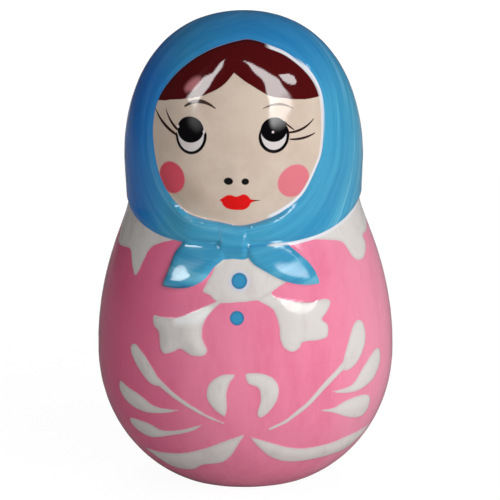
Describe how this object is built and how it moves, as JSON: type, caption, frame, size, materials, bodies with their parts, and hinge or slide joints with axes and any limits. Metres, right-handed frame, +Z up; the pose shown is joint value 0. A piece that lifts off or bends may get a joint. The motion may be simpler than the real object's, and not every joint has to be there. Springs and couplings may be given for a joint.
{
  "type": "nesting doll set",
  "caption": "Painted wooden nesting doll that twists open at the waist, with smaller dolls of the same form standing one inside another.",
  "frame": {"origin": "middle of the flat foot under the outer doll, on the surface that it stands on", "axes": "+Z up along the turning axis, the painted faces look along -Y, +X to the right of someone who faces the doll"},
  "size_m": [0.089, 0.089, 0.14],
  "materials": {
    "scarf_paint": "turned lime wood, hand painted with a blue headscarf, face and pink dress, under gloss lacquer",
    "dress_paint": "turned lime wood, hand painted pink with white and blue leaves, under gloss lacquer; bare turned wood inside"
  },
  "bodies": {
    "outer_base": {"outer_base": "dress_paint"},
    "outer_top": {"outer_top": "scarf_paint"},
    "second_base": {"second_base": "dress_paint"},
    "second_top": {"second_top": "scarf_paint"},
    "third_base": {"third_base": "dress_paint"},
    "third_top": {"third_top": "scarf_paint"},
    "fourth_base": {"fourth_base": "dress_paint"},
    "fourth_top": {"fourth_top": "scarf_paint"},
    "innermost": {"innermost_doll": "scarf_paint"}
  },
  "joints": [
    {"name": "outer_twist", "type": "hinge", "parent": "outer_base", "child": "second_base", "pos_m": [0, 0, 0.0425], "axis": [0, 0, 1], "continuous": true},
    {"name": "outer_lift", "type": "slide", "parent": "second_base", "child": "outer_top", "axis": [0, 0, 1], "range_m": [0, 0.241]},
    {"name": "second_twist", "type": "hinge", "parent": "second_base", "child": "third_base", "pos_m": [0, 0, 0.0417], "axis": [0, 0, 1], "continuous": true},
    {"name": "second_lift", "type": "slide", "parent": "third_base", "child": "second_top", "axis": [0, 0, 1], "range_m": [0, 0.16]},
    {"name": "third_twist", "type": "hinge", "parent": "third_base", "child": "fourth_base", "pos_m": [0, 0, 0.0417], "axis": [0, 0, 1], "continuous": true},
    {"name": "third_lift", "type": "slide", "parent": "fourth_base", "child": "third_top", "axis": [0, 0, 1], "range_m": [0, 0.093]},
    {"name": "fourth_twist", "type": "hinge", "parent": "fourth_base", "child": "innermost", "pos_m": [0, 0, 0.0416], "axis": [0, 0, 1], "continuous": true},
    {"name": "fourth_lift", "type": "slide", "parent": "innermost", "child": "fourth_top", "axis": [0, 0, 1], "range_m": [0, 0.041]}
  ],
  "couplings": [
    {"joint": "second_lift", "follows": "outer_lift", "ratio": 0.6638},
    {"joint": "third_lift", "follows": "outer_lift", "ratio": 0.3858},
    {"joint": "fourth_lift", "follows": "outer_lift", "ratio": 0.17}
  ]
}
